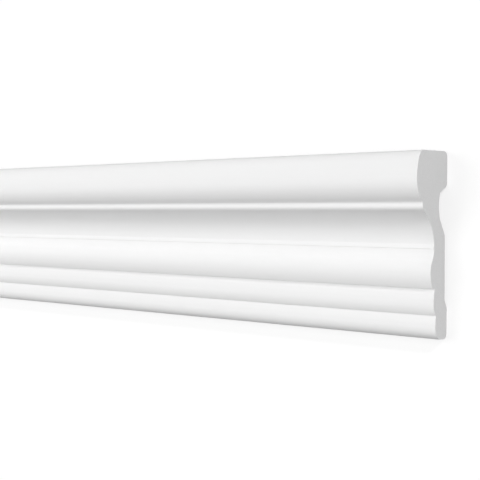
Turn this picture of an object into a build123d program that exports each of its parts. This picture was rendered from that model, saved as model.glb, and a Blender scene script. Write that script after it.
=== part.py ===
import os
from math import cos, radians, sin

from build123d import *

# A length of white wall moulding, lying on its back.
# X runs along the stock, Y up the face as it is hung, Z out from the wall.

# Length of one sold piece
stock_length = 2000.0

# Heights of the members, from the bottom edge up the face
reed_height = 11.7
bead_height = 12.9
ogee_height = 18.9
band_height = 2.2
cove_height = 16.7
listel_height = 3.3
torus_height = 24.3

# How far each member stands out from the wall
reed_projection = 9.6
bead_projection = 11.1
ogee_projection = 13.8
hollow_projection = 10.9
band_projection = 10.9
listel_projection = 20.5
torus_projection = 25.2

# Rounding inside the members
reed_nose_height = 5.6
reed_nose_depth = 4.5
reed_top_drop = 0.6
bead_crest_height = 5.2
bead_lip_drop = 1.5
bead_top_drop = 0.8
ogee_crest_height = 7.4
ogee_lip_drop = 1.9
band_lean = 0.2
cove_foot_slope_deg = 4.0
torus_crown_height = 10.4
torus_shoulder_depth = 5.2
listel_edge_radius = 1.0
arris_radius = 0.3

# Back of the stock: two lands that touch the wall, and the hollows between
lower_land_height = 15.1
lower_land_slope = 3.6
relief_depth = 1.8
relief_height = 30.9
groove_slope = 7.9
groove_side_depth = 6.0
groove_floor_height = 12.6
groove_crown = 0.9
upper_land_slope = 3.4
upper_land_corner_radius = 3.4
top_back_radius = 2.7
bottom_back_radius = 2.7

# Levels of the member joints on the face, measured from mid-height
member_heights = (
    reed_height,
    bead_height,
    ogee_height,
    band_height,
    cove_height,
    listel_height,
    torus_height,
)
face_height = sum(member_heights)
bottom_level = -face_height / 2
reed_level = bottom_level + reed_height
bead_level = reed_level + bead_height
ogee_level = bead_level + ogee_height
band_level = ogee_level + band_height
cove_level = band_level + cove_height
listel_level = cove_level + listel_height
top_level = listel_level + torus_height

# Lips that stand over the member below, in (level, projection)
cove_lip = (cove_level, listel_projection)
band_lip = (ogee_level, band_projection + band_lean)
ogee_lip = (bead_level, ogee_projection - ogee_lip_drop)
bead_lip = (reed_level, bead_projection - bead_lip_drop)


def torus_edges():
    """The flattened round along the top edge: an elliptical shoulder over a circular lower part."""
    crown = (listel_level + torus_crown_height, torus_projection)
    EllipticalCenterArc(
        (crown[0], torus_projection - torus_shoulder_depth),
        torus_height - torus_crown_height,
        torus_shoulder_depth,
        start_angle=0,
        arc_size=90,
    )
    TangentArc(crown, (listel_level, listel_projection), tangent=(-1, 0))


def listel_edges():
    """The narrow flat under the torus."""
    Line((listel_level, listel_projection), cove_lip)


def cove_edges():
    """The cove below the listel, and the narrow band at its foot with the nick under it."""
    slope = radians(cove_foot_slope_deg)
    foot = (band_level, band_projection)
    TangentArc(foot, cove_lip, tangent=(cos(slope), sin(slope)))
    Line(foot, band_lip)
    Line(band_lip, (ogee_level, hollow_projection))


def ogee_edges():
    """The reverse curve out to its crest, and the round down to its lip."""
    crest = (bead_level + ogee_crest_height, ogee_projection)
    hollow = (ogee_level, hollow_projection)
    turn = ((hollow[0] + crest[0]) / 2, (hollow[1] + crest[1]) / 2)
    TangentArc(hollow, turn, tangent=(-1, 0))
    TangentArc(crest, turn, tangent=(1, 0))
    TangentArc(crest, ogee_lip, tangent=(-1, 0))


def bead_edges():
    """The bead under the ogee's lip."""
    crest = (reed_level + bead_crest_height, bead_projection)
    bead_top = (bead_level, bead_projection - bead_top_drop)
    Line(ogee_lip, bead_top)
    TangentArc(crest, bead_top, tangent=(1, 0))
    TangentArc(crest, bead_lip, tangent=(-1, 0))


def reed_edges():
    """The reed under the bead's lip, with its nose and the underside."""
    crest = (bottom_level + reed_nose_height, reed_projection)
    reed_top = (reed_level, reed_projection - reed_top_drop)
    nose_end = (bottom_level, reed_projection - reed_nose_depth)
    Line(bead_lip, reed_top)
    TangentArc(crest, reed_top, tangent=(1, 0))
    EllipticalCenterArc(
        (crest[0], nose_end[1]),
        reed_nose_height,
        reed_nose_depth,
        start_angle=90,
        arc_size=90,
    )
    Line(nose_end, (bottom_level, 0))


def back_edges():
    """The lower land, the shallow relief, the deep groove and the upper land, up to the top edge."""
    land = bottom_level + lower_land_height
    relief = land + lower_land_slope
    relief_end = relief + relief_height
    floor = relief_end + groove_slope
    floor_end = floor + groove_floor_height
    upper_land = (floor_end + upper_land_slope, 0)
    Polyline(
        (bottom_level, 0),
        (land, 0),
        (relief, relief_depth),
        (relief_end, relief_depth),
        (floor, groove_side_depth),
    )
    ThreePointArc(
        (floor, groove_side_depth),
        ((floor + floor_end) / 2, groove_side_depth + groove_crown),
        (floor_end, groove_side_depth),
    )
    Polyline(
        (floor_end, groove_side_depth),
        upper_land,
        (top_level, 0),
        (top_level, torus_projection - torus_shoulder_depth),
    )
    return upper_land


def section():
    """The cross-section, with its lips and back corners eased."""
    with BuildSketch(Plane.YZ) as sketch:
        with BuildLine():
            torus_edges()
            listel_edges()
            cove_edges()
            ogee_edges()
            bead_edges()
            reed_edges()
            upper_land = back_edges()
        make_face()

        def ease(corner, radius):
            fillet(sketch.vertices().sort_by_distance(corner)[0], radius)

        ease(cove_lip, listel_edge_radius)
        ease(ogee_lip, arris_radius)
        ease(bead_lip, arris_radius)
        ease(upper_land, upper_land_corner_radius)
        ease((top_level, 0), top_back_radius)
        ease((bottom_level, 0), bottom_back_radius)
    return sketch.sketch


moulding = extrude(section(), amount=stock_length / 2, both=True)

os.makedirs("parts", exist_ok=True)
export_step(moulding, "parts/moulding.step")
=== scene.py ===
import math

import bpy
import numpy as np
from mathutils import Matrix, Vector
from mathutils.geometry import delaunay_2d_cdt


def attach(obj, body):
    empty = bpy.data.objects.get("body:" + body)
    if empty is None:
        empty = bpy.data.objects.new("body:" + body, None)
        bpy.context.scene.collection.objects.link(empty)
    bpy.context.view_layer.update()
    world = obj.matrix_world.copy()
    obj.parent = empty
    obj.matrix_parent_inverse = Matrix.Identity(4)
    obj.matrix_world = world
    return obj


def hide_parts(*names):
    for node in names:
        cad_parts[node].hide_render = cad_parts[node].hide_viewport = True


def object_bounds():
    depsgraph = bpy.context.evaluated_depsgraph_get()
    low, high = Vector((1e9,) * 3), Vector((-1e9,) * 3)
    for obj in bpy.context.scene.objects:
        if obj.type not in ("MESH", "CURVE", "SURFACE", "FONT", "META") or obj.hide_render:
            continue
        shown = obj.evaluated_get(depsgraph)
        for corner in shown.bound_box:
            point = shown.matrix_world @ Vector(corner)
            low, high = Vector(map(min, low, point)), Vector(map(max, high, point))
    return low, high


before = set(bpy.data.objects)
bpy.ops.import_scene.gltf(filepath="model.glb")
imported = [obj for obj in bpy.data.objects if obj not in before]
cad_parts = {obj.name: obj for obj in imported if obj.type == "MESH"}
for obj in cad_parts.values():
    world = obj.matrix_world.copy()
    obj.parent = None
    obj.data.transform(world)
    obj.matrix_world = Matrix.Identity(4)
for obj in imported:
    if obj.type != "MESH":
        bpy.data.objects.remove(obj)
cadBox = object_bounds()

scene = bpy.context.scene
mm = 0.001
low, high = np.array(cadBox[0]), np.array(cadBox[1])
bottom, top = low[1] / mm, high[1] / mm        # edges of the face, from mid-height, in millimetres
print("frame loaded, CAD box in metres:", low.round(4), high.round(4))


# Curves of the section: rows of (height up the face, distance out from the wall), in millimetres
curvePoints = 200             # points on each curve
slopePoints = 8               # points from a corner over which a curve's slope there is taken
up, down = (1, 0), (-1, 0)    # headings along the face and the back


def straight(start, end):
    # a point at t is the start plus t times the way to the end
    t = np.linspace(0, 1, curvePoints)[:, None]
    return np.array(start) * (1 - t) + np.array(end) * t


def ellipseArc(centre, radii, startDeg, endDeg):
    # the centre, plus the radii times the cosine and sine of an angle that runs evenly
    a = np.radians(np.linspace(startDeg, endDeg, curvePoints))
    return np.array(centre) + np.stack([radii[0] * np.cos(a), radii[1] * np.sin(a)], 1)


def tangentArc(start, end, heading):
    # a circle that leaves start along heading and reaches end: it turns through twice the angle
    # from heading to the chord, and its radius is half the chord over the sine of that angle
    start, chord = np.array(start, float), np.array(end, float) - np.array(start, float)
    ahead = np.array(heading, float) / np.hypot(*heading)
    sideways = np.array([-ahead[1], ahead[0]])
    angle = math.atan2(chord @ sideways, chord @ ahead)
    radius = np.hypot(*chord) / (2 * math.sin(angle))
    turn = np.linspace(0, 2 * angle, curvePoints)[:, None]
    return start + radius * (np.sin(turn) * ahead + (1 - np.cos(turn)) * sideways)


def roundCorner(before, corner, after, radius):
    # a circle that touches both runs at the same distance from the corner: the radius over the
    # tangent of half the angle between them
    corner = np.array(corner, float)
    back = (np.array(before) - corner) / math.dist(before, corner)
    on = (np.array(after) - corner) / math.dist(after, corner)
    reach = radius / math.tan(math.acos(back @ on) / 2)
    return tangentArc(corner + back * reach, corner + on * reach, -back)


def roundJoint(first, second, radius):
    # two curves that meet in a corner, cut back to the ends of a circle that touches both
    corner = second[0]
    bend = roundCorner(first[-slopePoints], corner, second[slopePoints], radius)
    cut = math.dist(bend[0], corner)
    kept = [curve[np.hypot(*(curve - corner).T) > cut] for curve in (first, second)]
    return np.concatenate([kept[0], bend, kept[1]])


section = dict(          # sizes of the members, in millimetres
    # heights up the face, where the torus takes the rest
    reedHeight=11.7, beadHeight=12.9, ogeeHeight=18.9, bandHeight=2.2, coveHeight=16.7, listelHeight=3.3,
    # how far they stand out from the wall, where the torus reaches the front of the CAD box
    reedOut=9.6, beadOut=11.1, ogeeOut=13.8, hollowOut=10.9, bandOut=10.9, listelOut=20.5,
    # crests, drops and roundings inside the members
    noseHeight=5.6, noseDepth=4.5, reedTopDrop=0.6, beadCrest=5.2, beadLipDrop=1.5, beadTopDrop=0.8,
    ogeeCrest=7.4, ogeeLipDrop=1.9, bandLean=0.2, coveFootDeg=4.0, torusCrown=10.4, torusShoulder=5.2,
    listelEdge=2.6, listelSeat=2.4,
    # lands and hollows of the back
    lowerLand=15.1, lowerSlope=3.6, reliefDepth=1.8, reliefHeight=30.9, grooveSlope=7.9, grooveDepth=6.0,
    grooveFloor=12.6, grooveCrown=0.9, upperSlope=3.4, landCorner=3.4, topCorner=2.7, bottomCorner=2.7,
)


def faceCurve(s):
    # reed, bead, ogee, band, cove, listel and torus, one after the other from the bottom edge up
    reed = bottom + s["reedHeight"]
    bead = reed + s["beadHeight"]
    ogee = bead + s["ogeeHeight"]
    band = ogee + s["bandHeight"]
    cove = band + s["coveHeight"]
    listel = cove + s["listelHeight"]
    noseEnd = (bottom, s["reedOut"] - s["noseDepth"])
    noseCrest = (bottom + s["noseHeight"], s["reedOut"])
    reedTop = (reed, s["reedOut"] - s["reedTopDrop"])
    beadLip = (reed, s["beadOut"] - s["beadLipDrop"])
    beadCrest = (reed + s["beadCrest"], s["beadOut"])
    beadTop = (bead, s["beadOut"] - s["beadTopDrop"])
    ogeeLip = (bead, s["ogeeOut"] - s["ogeeLipDrop"])
    ogeeCrest = (bead + s["ogeeCrest"], s["ogeeOut"])
    hollow = (ogee, s["hollowOut"])
    ogeeTurn = ((ogeeCrest[0] + hollow[0]) / 2, (ogeeCrest[1] + hollow[1]) / 2)
    bandLip = (ogee, s["bandOut"] + s["bandLean"])
    coveFoot = (band, s["bandOut"])
    coveSlope = math.radians(s["coveFootDeg"])
    coveLip = (cove, s["listelOut"])
    listelTop = (listel, s["listelOut"])
    torusOut = high[2] / mm
    torusCrown = (listel + s["torusCrown"], torusOut)
    shoulder = (torusCrown[0], torusOut - s["torusShoulder"])
    coveArc = tangentArc(coveFoot, coveLip, (math.cos(coveSlope), math.sin(coveSlope)))
    coveAndListel = roundJoint(coveArc, straight(coveLip, listelTop), s["listelEdge"])
    torusArc = tangentArc(torusCrown, listelTop, down)[::-1]
    return np.concatenate([
        straight((bottom, s["bottomCorner"]), noseEnd),
        ellipseArc((noseCrest[0], noseEnd[1]), (s["noseHeight"], s["noseDepth"]), startDeg=180, endDeg=90),
        tangentArc(noseCrest, reedTop, up),
        straight(reedTop, beadLip),
        tangentArc(beadCrest, beadLip, down)[::-1],
        tangentArc(beadCrest, beadTop, up),
        straight(beadTop, ogeeLip),
        tangentArc(ogeeCrest, ogeeLip, down)[::-1],
        tangentArc(ogeeCrest, ogeeTurn, up),
        tangentArc(hollow, ogeeTurn, down)[::-1],
        straight(hollow, bandLip),
        straight(bandLip, coveFoot),
        roundJoint(coveAndListel, torusArc, s["listelSeat"]),
        ellipseArc(shoulder, (top - shoulder[0], s["torusShoulder"]), startDeg=90, endDeg=0),
        straight((top, shoulder[1]), (top, s["topCorner"])),
    ])


def backCurve(s):
    # lower land, shallow relief, deep groove and upper land, from the bottom edge up: the lands
    # are the straight runs from one row to the next
    bottomBack, topBack = (bottom, 0), (top, 0)
    land = (bottom + s["lowerLand"], 0)
    relief = (land[0] + s["lowerSlope"], s["reliefDepth"])
    reliefEnd = (relief[0] + s["reliefHeight"], s["reliefDepth"])
    floorStart = (reliefEnd[0] + s["grooveSlope"], s["grooveDepth"])
    floorEnd = (floorStart[0] + s["grooveFloor"], s["grooveDepth"])
    floorMid = ((floorStart[0] + floorEnd[0]) / 2, s["grooveDepth"] + s["grooveCrown"])
    upperLand = (floorEnd[0] + s["upperSlope"], 0)
    return np.concatenate([
        roundCorner((bottom, s["reedOut"]), bottomBack, land, s["bottomCorner"]),
        straight(land, relief),
        straight(relief, reliefEnd),
        straight(reliefEnd, floorStart),
        tangentArc(floorMid, floorStart, down)[::-1],
        tangentArc(floorMid, floorEnd, up),
        roundCorner(floorEnd, upperLand, topBack, s["landCorner"]),
        roundCorner(upperLand, topBack, (top, s["ogeeOut"]), s["topCorner"]),
    ])


def spreadPoints(path, along, count):
    # count points at even steps of along, a measure that grows from row to row of the path
    at = np.linspace(0, along[-1], count)
    return np.stack([np.interp(at, along, path[:, k]) for k in (0, 1)], 1)


def evenPoints(path, step):
    # the same path with points at even distances along it
    along = np.concatenate([[0], np.cumsum(np.hypot(*np.diff(path, axis=0).T))])
    return spreadPoints(path, along, int(along[-1] / step))


def easedCorners(path, reach, step):
    # each point becomes the mean of its neighbours within reach, weighted by a raised cosine
    n = int(reach / step)
    weight = 1 + np.cos(np.linspace(-math.pi, math.pi, 2 * n + 3)[1:-1])
    held = np.concatenate([np.repeat(path[:1], n, 0), path, np.repeat(path[-1:], n, 0)])
    return np.stack([np.convolve(held[:, k], weight / weight.sum(), "valid") for k in (0, 1)], 1)


def sharedTurns(path, count, stride, turnDeg):
    # count points, each with an equal share of the length, in strides, plus the turning, in turns
    way = np.diff(path, axis=0)
    heading = np.unwrap(np.arctan2(way[:, 1], way[:, 0]))
    turning = np.abs(np.diff(heading, prepend=heading[0]))
    share = np.hypot(*way.T) / stride + turning / math.radians(turnDeg)
    return spreadPoints(path, np.concatenate([[0], np.cumsum(share)]), count)


stock = dict(
    sidePoints=420,           # points on the face curve, and as many on the back curve
    stations=41,              # sections along the length
    easing=0.3,               # how far the primer softens a sharp arris, in millimetres
    fineStep=0.04,            # spacing of the points while the arrises are eased, in millimetres
    stride=1.2, turnDeg=5,    # so many millimetres take as many points as a turn of so many degrees
    closest=1e-9,             # points of an end nearer than this would be one, in metres
)


def sectionSide(path):
    # a curve with its arrises eased, and its points closer together where it turns
    fine = easedCorners(evenPoints(path, stock["fineStep"]), stock["easing"], stock["fineStep"])
    return sharedTurns(fine, stock["sidePoints"], stock["stride"], stock["turnDeg"])


def filledOutline(ring):
    # flat triangles between the points of a closed outline, none outside it
    order, noEdges, insideOnly = list(range(len(ring))), [], 1
    made = delaunay_2d_cdt(ring.tolist(), noEdges, [order], insideOnly, stock["closest"])
    return np.array(made[2])


def mouldingMesh():
    # the section carried along X: point (i, j) is section point j at station i
    face, back = sectionSide(faceCurve(section)), sectionSide(backCurve(section))
    ring = np.concatenate([face, back[-2:0:-1]]) * mm
    n, xs = len(ring), np.linspace(low[0], high[0], stock["stations"])
    points = np.empty((len(xs), n, 3))
    points[:, :, 0] = xs[:, None]
    points[:, :, 1:] = ring
    i, j = np.meshgrid(np.arange(len(xs) - 1), np.arange(n), indexing="ij")
    k = (j + 1) % n
    sides = np.stack([i * n + j, (i + 1) * n + j, (i + 1) * n + k, i * n + k], -1).reshape(-1, 4)
    # the same triangles close both ends, turned round at the first
    fill = filledOutline(ring)
    ends = np.concatenate([fill[:, ::-1], fill + (len(xs) - 1) * n])
    isEnd = np.repeat([0, 1], [len(sides), len(ends)]).astype(np.int32)
    return points.reshape(-1, 3), sides.tolist() + ends.tolist(), isEnd


def putMesh(name, points, faces, slots, sharpDeg=35):
    # a smooth object at the origin, with edges that turn by more than sharpDeg left sharp
    mesh = bpy.data.meshes.new(name)
    mesh.from_pydata(points, [], faces)
    mesh.polygons.foreach_set("material_index", slots)
    mesh.polygons.foreach_set("use_smooth", np.ones(len(faces), bool))
    mesh.update()
    mesh.set_sharp_from_angle(angle=math.radians(sharpDeg))
    piece = bpy.data.objects.new(name, mesh)
    scene.collection.objects.link(piece)
    return piece


# Finishes

def addNode(tree, kind, inputs, **settings):
    # makes a node, sets its fields, fills each input with a value or a link, and gives its outputs
    made = tree.nodes.new(kind)
    for name, value in settings.items():
        setattr(made, name, value)
    for name, value in inputs.items():
        if isinstance(value, bpy.types.NodeSocket):
            tree.links.new(value, made.inputs[name])
        else:
            made.inputs[name].default_value = value
    return made.outputs


def combined(tree, operation, first, second):
    # the sum, product or larger of two values, as operation says
    return addNode(tree, "ShaderNodeMath", {0: first, 1: second}, operation=operation)[0]


def asMask(tree, value, least, most):
    # least to most becomes 0 to 1
    return addNode(tree, "ShaderNodeMapRange", {"Value": value, "From Min": least, "From Max": most})[0]


def between(tree, mask, least, most):
    # 0 to 1 becomes least to most
    return addNode(tree, "ShaderNodeMapRange", {"Value": mask, "To Min": least, "To Max": most})[0]


def grainGroup(noiseLow, noiseHigh):
    # noise drawn out by Stretch, features per metre on each axis, as a mask that is 0 where the
    # noise is at noiseLow and 1 where it is at noiseHigh
    group = bpy.data.node_groups.new("stretchedGrain", "ShaderNodeTree")
    for name, kind in (("Vector", "Vector"), ("Stretch", "Vector"), ("Detail", "Float")):
        group.interface.new_socket(name, in_out="INPUT", socket_type="NodeSocket" + kind)
    group.interface.new_socket("Mask", in_out="OUTPUT", socket_type="NodeSocketFloat")
    given = addNode(group, "NodeGroupInput", {})
    stretched = {0: given["Vector"], 1: given["Stretch"]}
    drawn = addNode(group, "ShaderNodeVectorMath", stretched, operation="MULTIPLY")[0]
    fineness = {"Scale": 1, "Detail": given["Detail"]}
    noise = addNode(group, "ShaderNodeTexNoise", {"Vector": drawn, **fineness})[0]
    addNode(group, "NodeGroupOutput", {"Mask": asMask(group, noise, noiseLow, noiseHigh)})
    return group


stretchedGrain = grainGroup(noiseLow=0.3, noiseHigh=0.7)


def grain(tree, place, stretch, detail):
    # the group placed in a material, with its own values
    inputs = {"Vector": place, "Stretch": stretch, "Detail": detail}
    return addNode(tree, "ShaderNodeGroup", inputs, node_tree=stretchedGrain)["Mask"]


def newFinish(name):
    # a plain material, its nodes, and where each point of the piece lies
    mat = bpy.data.materials.new(name)
    mat.use_nodes = True
    return mat, mat.node_tree, addNode(mat.node_tree, "ShaderNodeTexCoord", {})["Object"]


def setFinish(tree, v, tone, texture, bumps):
    # the masks tone and texture set the white and the roughness, and the bumps, each a mask and
    # its depth in metres, lie one on the other
    shader = tree.nodes["Principled BSDF"].inputs
    shader["Specular IOR Level"].default_value = v["gloss"]
    tree.links.new(between(tree, tone, *v["white"]), shader["Base Color"])
    tree.links.new(between(tree, texture, *v["roughness"]), shader["Roughness"])
    below = {}
    for mask, depth in bumps:
        bump = addNode(tree, "ShaderNodeBump", {"Height": mask, "Distance": depth, **below})
        below = {"Normal": bump[0]}
    tree.links.new(below["Normal"], shader["Normal"])


primer = dict(
    white=(0.868, 0.892), roughness=(0.50, 0.62), gloss=0.25,
    drift=dict(stretch=(5, 40, 40), detail=2),         # slow drift of the coat's white
    lines=dict(stretch=(1.5, 260, 260), detail=4),     # fine lines left along the stock as it was drawn
    peel=dict(stretch=(420, 420, 420), detail=2),      # faint skin of the sprayed primer
    lineDepth=0.00003, peelDepth=0.000012,             # in metres
)


def primedFace(v):
    # a white coat that drifts and follows the drawn lines, under a fine skin
    mat, tree, place = newFinish("primedFace")
    drift, lines, peel = [grain(tree, place, **v[name]) for name in ("drift", "lines", "peel")]
    mean = combined(tree, "MULTIPLY", combined(tree, "ADD", drift, lines), 0.5)
    setFinish(tree, v, mean, peel, [(peel, v["peelDepth"]), (lines, v["lineDepth"])])
    return mat


foam = dict(
    white=(0.835, 0.868), roughness=(0.74, 0.86), gloss=0.2,
    cells=1500,                                        # closed cells to the metre
    cellRim=(0.05, 0.5),                               # a cell's pit and its rim, in cells from its middle
    lines=dict(stretch=(1, 25, 700), detail=3),        # scores of the blade, up the sawn end
    cellDepth=0.00006, lineDepth=0.00004,              # in metres
)


def sawnEnd(v):
    # raised rims round the cells, paler than their pits, which are darkened as painted shade in the
    # hollows, and the scores of the blade over them
    mat, tree, place = newFinish("sawnEnd")
    lines = grain(tree, place, **v["lines"])
    cells = addNode(tree, "ShaderNodeTexVoronoi", {"Vector": place, "Scale": v["cells"]})["Distance"]
    # one mask both raises the rims and darkens the pits between them as painted shade
    rimHeightAndPitShade = asMask(tree, cells, *v["cellRim"])
    setFinish(tree, v, rimHeightAndPitShade, lines, [(rimHeightAndPitShade, v["cellDepth"]), (lines, v["lineDepth"])])
    return mat


moulding = putMesh("mouldingStock", *mouldingMesh())
moulding.data.materials.append(primedFace(primer))
moulding.data.materials.append(sawnEnd(foam))
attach(moulding, "root")
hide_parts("moulding")
print("moulding:", len(moulding.data.polygons), "faces")


# Camera: looks down on the face as it lies, from beyond the right-hand end
view = dict(
    place=(1.2930, 0.0165, 0.4500), nearest=0.01,      # in metres
    pitchDeg=-1.516, turnDeg=43.727,                   # about X, then about Y
    lens=82.5, sensor=36.0,                            # in millimetres
)
cam = bpy.data.objects.new("camera", bpy.data.cameras.new("camera"))
cam.data.sensor_width = view["sensor"]
cam.data.lens = view["lens"]
cam.data.clip_start = view["nearest"]
cam.location = view["place"]
cam.rotation_euler = (math.radians(view["pitchDeg"]), math.radians(view["turnDeg"]), 0)
scene.collection.objects.link(cam)
scene.camera = cam
print("camera at", [round(v, 3) for v in cam.location])


# Floor and world: white to the camera and in reflections, and dimmer to all other light

def grey(level):
    # a colour of the same level in red, green and blue
    return (level, level, level, 1)


def seenDirectly(tree):
    # 1 on a ray from the camera, or from a reflection or glass, and 0 on any other
    path = addNode(tree, "ShaderNodeLightPath", {})
    shiny = combined(tree, "MAXIMUM", path["Is Glossy Ray"], path["Is Transmission Ray"])
    return combined(tree, "MAXIMUM", path["Is Camera Ray"], shiny)


ground = dict(
    size=8.0,                    # in metres
    paper=0.2,                   # its white to light that bounces off it
    glow=0.73, shadowed=0.3,     # its white as it is seen: a steady part, and one that a shadow dims
)


def floorPaper(v):
    # bounces light as dim paper, and is seen as a white that keeps the shadow
    mat = bpy.data.materials.new("floorPaper")
    mat.use_nodes = True
    tree = mat.node_tree
    tree.nodes.clear()
    paper = addNode(tree, "ShaderNodeBsdfDiffuse", {"Color": grey(v["paper"])})[0]
    lit = addNode(tree, "ShaderNodeBsdfDiffuse", {"Color": grey(v["shadowed"])})[0]
    glow = addNode(tree, "ShaderNodeEmission", {"Color": grey(1), "Strength": v["glow"]})[0]
    white = addNode(tree, "ShaderNodeAddShader", {0: lit, 1: glow})[0]
    both = addNode(tree, "ShaderNodeMixShader", {0: seenDirectly(tree), 1: paper, 2: white})[0]
    addNode(tree, "ShaderNodeOutputMaterial", {"Surface": both})
    return mat


reach = ground["size"] / 2
corners = [(-reach, -reach, 0), (reach, -reach, 0), (reach, reach, 0), (-reach, reach, 0)]
floor = putMesh("floor", corners, [(0, 1, 2, 3)], [0])
floor.data.materials.append(floorPaper(ground))

sky = dict(fill=0.03, seen=1)    # strength as light on the object, and as it is seen


def whiteWorld(v):
    # a faint fill on the object, and white where it is seen
    world = bpy.data.worlds.new("world")
    world.use_nodes = True
    tree = world.node_tree
    background = tree.nodes["Background"].inputs
    background["Color"].default_value = grey(1)
    tree.links.new(between(tree, seenDirectly(tree), v["fill"], v["seen"]), background["Strength"])
    return world


scene.world = whiteWorld(sky)
print("floor and world ready")


lamps = [         # strength 1 lights a square-on white surface to white
    dict(name="key", tiltDeg=50, alongDeg=42, softDeg=5, strength=0.396),
    dict(name="softLeft", tiltDeg=10, alongDeg=-35, softDeg=45, strength=0.55),
    dict(name="softRight", tiltDeg=-10, alongDeg=45, softDeg=45, strength=0.42),
]


def hangLamp(v):
    # from straight above, tilted towards the torus and then turned towards the right-hand end
    lamp = bpy.data.lights.new(v["name"], "SUN")
    lamp.energy = v["strength"] * math.pi
    lamp.angle = math.radians(v["softDeg"])
    tilt, along = math.radians(v["tiltDeg"]), math.radians(v["alongDeg"])
    towards = Vector((math.sin(along), math.cos(along) * math.sin(tilt), math.cos(along) * math.cos(tilt)))
    hung = bpy.data.objects.new(v["name"], lamp)
    hung.rotation_euler = towards.to_track_quat("Z", "Y").to_euler()
    scene.collection.objects.link(hung)


for lampValues in lamps:
    hangLamp(lampValues)
print("lamps:", [v["name"] for v in lamps])

scene.view_settings.view_transform = "Standard"
